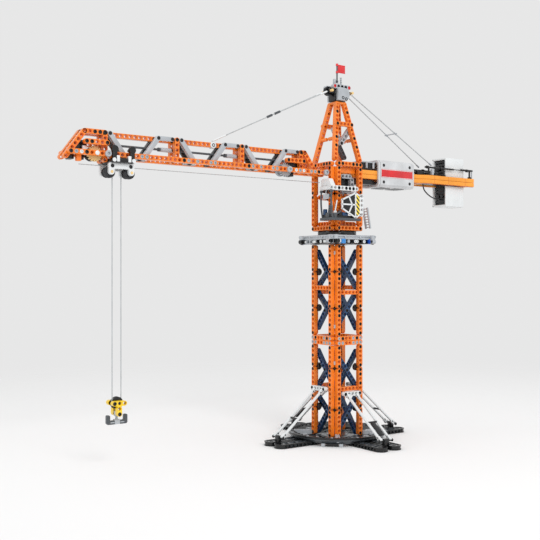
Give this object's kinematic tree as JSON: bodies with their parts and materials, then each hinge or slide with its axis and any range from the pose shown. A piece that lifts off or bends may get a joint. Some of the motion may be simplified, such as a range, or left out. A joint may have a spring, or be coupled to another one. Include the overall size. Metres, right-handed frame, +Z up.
{
  "type": "toy tower crane",
  "caption": "Hammerhead tower crane built from drilled toy beams: slewing jib and counter-jib, travelling trolley, lifting hook, cab, four braced legs.",
  "frame": {"origin": "on the slewing axis, at the underside of the base hub where the crane stands", "axes": "+Z up along the mast; the jib points along -X and the counter-jib along +X; the cab's door faces -Y"},
  "size_m": [0.8358, 0.288, 0.6664],
  "materials": {
    "orange_plastic": "smooth",
    "amber_plastic": "smooth",
    "black_plastic": "smooth",
    "dark_grey_plastic": "smooth",
    "light_grey_plastic": "smooth",
    "white_plastic": "smooth",
    "blue_plastic": "smooth",
    "yellow_plastic": "smooth",
    "red_plastic": "smooth",
    "tan_plastic": "smooth",
    "sheave_rubber": "matt",
    "string": "twisted"
  },
  "bodies": {
    "foundation": {"base_hub": "dark_grey_plastic", "base_leg_front": "black_plastic", "base_leg_right": "black_plastic", "base_leg_back": "black_plastic", "base_leg_left": "black_plastic", "base_ring": "black_plastic", "outrigger_strut_front": "white_plastic", "outrigger_strut_right": "white_plastic", "outrigger_strut_back": "white_plastic", "outrigger_strut_left": "white_plastic", "mast_face_front": "orange_plastic", "mast_face_right": "orange_plastic", "mast_face_back": "orange_plastic", "mast_face_left": "orange_plastic", "mast_brace_lower_front": "blue_plastic", "mast_brace_lower_right": "blue_plastic", "mast_brace_lower_back": "blue_plastic", "mast_brace_lower_left": "blue_plastic", "mast_brace_upper_front": "blue_plastic", "mast_brace_upper_right": "blue_plastic", "mast_brace_upper_back": "blue_plastic", "mast_brace_upper_left": "blue_plastic", "walkway": "light_grey_plastic", "turntable_fixed": "black_plastic"},
    "superstructure": {"turntable_turning": "black_plastic", "tower_face_front": "orange_plastic", "tower_face_right": "orange_plastic", "tower_face_back": "orange_plastic", "tower_face_left": "orange_plastic", "motor_box": "black_plastic", "cab_shell": "dark_grey_plastic", "cab_roof": "white_plastic", "cab_door": "white_plastic", "access_ladder": "light_grey_plastic", "peak_frame": "orange_plastic", "peak_head": "light_grey_plastic", "backstay": "string", "forestay": "string", "counter_jib": "amber_plastic", "sign_housing": "light_grey_plastic", "counterweight_case": "white_plastic", "battery_pack": "black_plastic", "pack_cable": "black_plastic", "jib_front": "orange_plastic", "jib_rear": "orange_plastic", "jib_rope": "string"},
    "flag": {"flag": "red_plastic"},
    "drive_shaft": {"drive_shaft": "dark_grey_plastic"},
    "tip_pulley": {"tip_pulley": "tan_plastic"},
    "root_pulley": {"root_pulley": "light_grey_plastic"},
    "trolley": {"trolley_body": "light_grey_plastic", "hoist_rope": "string"},
    "sheave_outer": {"sheave_outer": "sheave_rubber"},
    "sheave_inner": {"sheave_inner": "sheave_rubber"},
    "hook_block": {"hook_block": "yellow_plastic"},
    "load_hook": {"load_hook": "dark_grey_plastic"}
  },
  "joints": [
    {"name": "slew", "type": "hinge", "parent": "foundation", "child": "superstructure", "pos_m": [0, 0, 0.36], "axis": [0, 0, 1], "continuous": true},
    {"name": "trolley_travel", "type": "slide", "parent": "superstructure", "child": "trolley", "axis": [1, 0, 0], "range_m": [0, 0.272]},
    {"name": "hook_lift", "type": "slide", "parent": "trolley", "child": "hook_block", "axis": [0, 0, 1], "range_m": [-0.045, 0.3], "deforming": ["hoist_rope"]},
    {"name": "hook_swivel", "type": "hinge", "parent": "hook_block", "child": "load_hook", "pos_m": [-0.4248, 0, 0.0752], "axis": [0, 0, 1], "range_deg": [-180, 180]},
    {"name": "flag_turn", "type": "hinge", "parent": "superstructure", "child": "flag", "pos_m": [0, 0, 0.64], "axis": [0, 0, 1], "range_deg": [-180, 180]},
    {"name": "tip_pulley_spin", "type": "hinge", "parent": "superstructure", "child": "tip_pulley", "pos_m": [-0.464, 0, 0.468], "axis": [0, 1, 0], "range_deg": [-5, 1570]},
    {"name": "root_pulley_spin", "type": "hinge", "parent": "superstructure", "child": "root_pulley", "pos_m": [-0.12, 0, 0.468], "axis": [0, 1, 0], "range_deg": [-5, 1570]},
    {"name": "drive_shaft_spin", "type": "hinge", "parent": "superstructure", "child": "drive_shaft", "pos_m": [-0.28, 0, 0.484], "axis": [1, 0, 0], "range_deg": [-5, 3130]},
    {"name": "sheave_outer_spin", "type": "hinge", "parent": "trolley", "child": "sheave_outer", "pos_m": [-0.4408, 0, 0.4424], "axis": [0, 1, 0], "range_deg": [-1780, 5]},
    {"name": "sheave_inner_spin", "type": "hinge", "parent": "trolley", "child": "sheave_inner", "pos_m": [-0.4088, 0, 0.4424], "axis": [0, 1, 0], "range_deg": [-1780, 5]}
  ],
  "couplings": [
    {"joint": "tip_pulley_spin", "follows": "trolley_travel", "rad_per_m": 100},
    {"joint": "root_pulley_spin", "follows": "trolley_travel", "rad_per_m": 100},
    {"joint": "drive_shaft_spin", "follows": "trolley_travel", "rad_per_m": 200},
    {"joint": "sheave_outer_spin", "follows": "trolley_travel", "rad_per_m": -113.64},
    {"joint": "sheave_inner_spin", "follows": "trolley_travel", "rad_per_m": -113.64}
  ]
}
